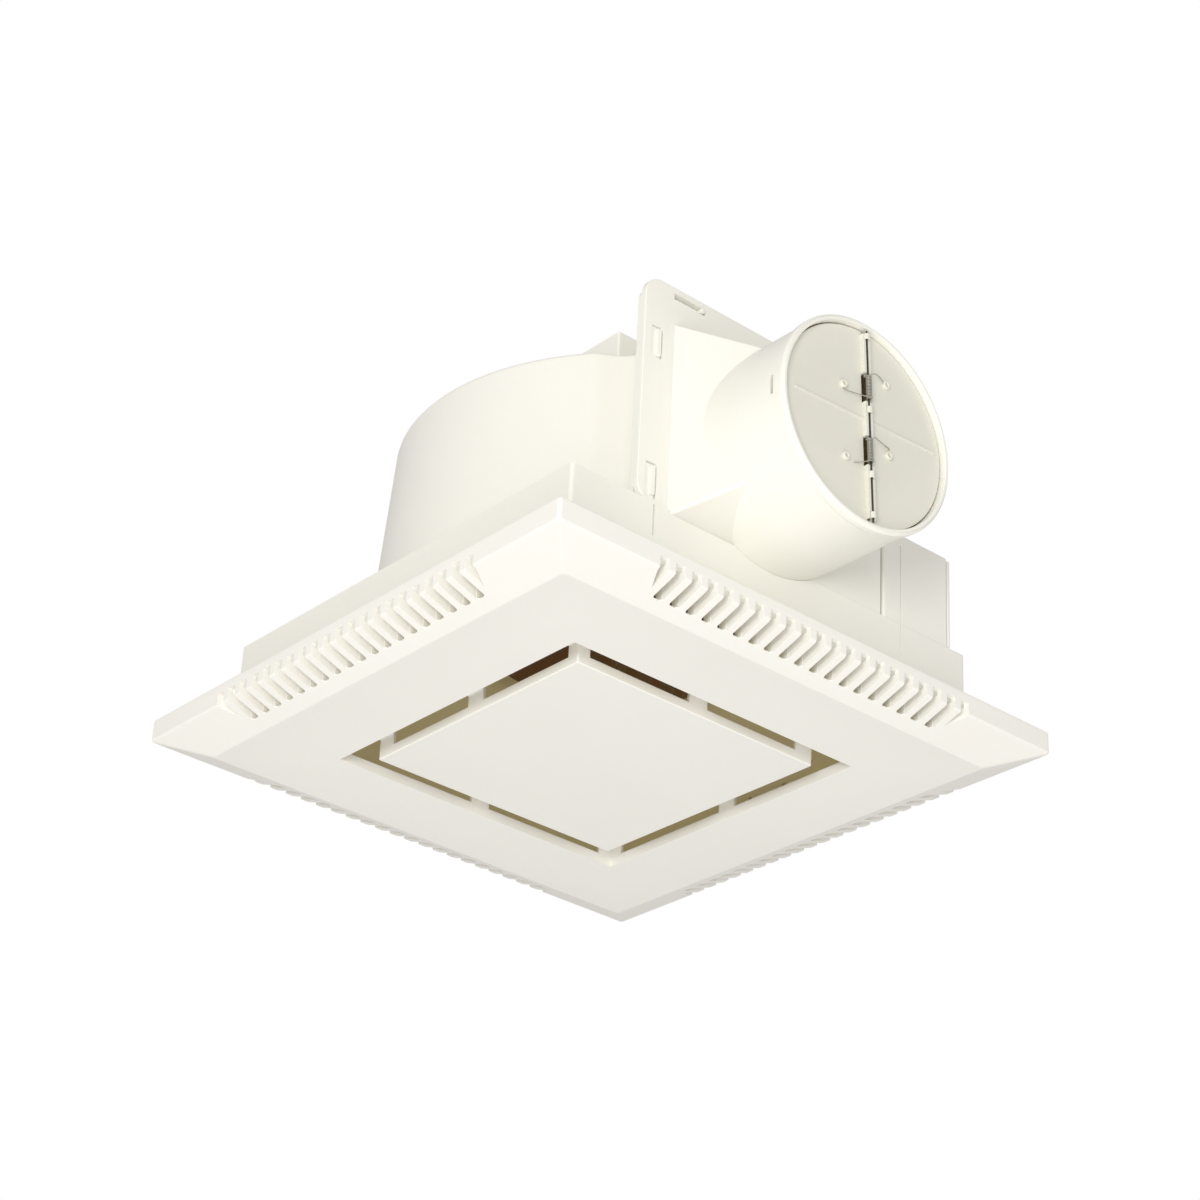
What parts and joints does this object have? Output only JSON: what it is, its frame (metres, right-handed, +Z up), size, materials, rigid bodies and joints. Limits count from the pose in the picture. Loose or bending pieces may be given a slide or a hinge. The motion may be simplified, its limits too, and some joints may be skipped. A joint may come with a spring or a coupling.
{
  "type": "ceiling extractor fan",
  "caption": "Ceiling extractor fan: square intake grille, centrifugal blower in a scroll housing and a round side spigot with a hinged backdraft damper.",
  "frame": {"origin": "centre of the intake grille's flat underside", "axes": "+Z up into the ceiling void, -Y along the outlet spigot, +X to the right of the outlet as seen from outside it, towards the terminal box"},
  "size_m": [0.3, 0.3343, 0.178],
  "materials": {
    "grille_plastic": "cream-white satin-gloss ABS",
    "housing_plastic": "cream-white satin ABS",
    "flap_plastic": "greyish cream",
    "wheel_plastic": "dark brown moulded plastic",
    "plated_steel": "zinc plated",
    "bearing_steel": "ground",
    "dark_spring_steel": "blackened wire",
    "foam_rubber": "closed-cell foam",
    "copper_winding": "enamelled wire",
    "laminated_steel": "stacked laminations",
    "motor_shell_metal": "pressed shell",
    "capacitor_case": "moulded case",
    "gland_nylon": "nylon",
    "terminal_plastic": "polyamide",
    "lead_sheath": "PVC sheath"
  },
  "bodies": {
    "housing": {"adaptor_gasket": "foam_rubber", "bearing_lower": "bearing_steel", "bearing_upper": "bearing_steel", "cable_gland": "gland_nylon", "cover_screw_1": "plated_steel", "cover_screw_2": "plated_steel", "cover_screw_3": "plated_steel", "cover_screw_4": "plated_steel", "damper_pin": "dark_spring_steel", "damper_seal": "foam_rubber", "damper_spring_lower": "dark_spring_steel", "damper_spring_upper": "dark_spring_steel", "duct_adaptor": "housing_plastic", "gland_nut": "gland_nylon", "inlet_ring": "housing_plastic", "inlet_screw_1": "plated_steel", "inlet_screw_2": "plated_steel", "inlet_screw_3": "plated_steel", "inlet_screw_4": "plated_steel", "motor_cover": "housing_plastic", "motor_lead": "lead_sheath", "motor_screw_1": "plated_steel", "motor_screw_2": "plated_steel", "motor_screw_3": "plated_steel", "motor_shell_lower": "motor_shell_metal", "motor_shell_upper": "motor_shell_metal", "mounting_frame": "housing_plastic", "run_capacitor": "capacitor_case", "scroll_housing": "housing_plastic", "stator_core": "laminated_steel", "terminal_block": "terminal_plastic", "terminal_box": "housing_plastic", "terminal_lid": "housing_plastic", "terminal_lid_screw": "plated_steel", "winding_lower": "copper_winding", "winding_upper": "copper_winding"},
    "grille": {"intake_grille": "grille_plastic", "grille_spring_left": "plated_steel", "grille_spring_right": "plated_steel"},
    "wheel": {"wheel_blades": "wheel_plastic", "wheel_backplate": "wheel_plastic", "wheel_washer": "plated_steel", "wheel_nut": "plated_steel", "motor_shaft": "plated_steel", "motor_rotor": "laminated_steel"},
    "flap_left": {"damper_flap_left": "flap_plastic"},
    "flap_right": {"damper_flap_right": "flap_plastic"}
  },
  "joints": [
    {"name": "grille_drop", "type": "slide", "parent": "housing", "child": "grille", "axis": [0, 0, -1], "range_m": [0, 0.025], "stiffness_N_per_m": 160, "springref_m": -0.03},
    {"name": "wheel_spin", "type": "hinge", "parent": "housing", "child": "wheel", "pos_m": [0.005, -0.005, 0.1], "axis": [0, 0, 1], "continuous": true},
    {"name": "flap_left_swing", "type": "hinge", "parent": "housing", "child": "flap_left", "pos_m": [-0.0032, -0.1822, 0.10459], "axis": [-0.048, 0, 0.9988], "range_deg": [0, 75], "stiffness_Nm_per_rad": 0.004, "springref_deg": -20.05, "deforming": ["damper_spring_upper"]},
    {"name": "flap_right_swing", "type": "hinge", "parent": "housing", "child": "flap_right", "pos_m": [-0.0032, -0.1822, 0.10459], "axis": [0.048, 0, -0.9988], "range_deg": [0, 75], "stiffness_Nm_per_rad": 0.004, "springref_deg": -20.05, "deforming": ["damper_spring_lower"]}
  ]
}
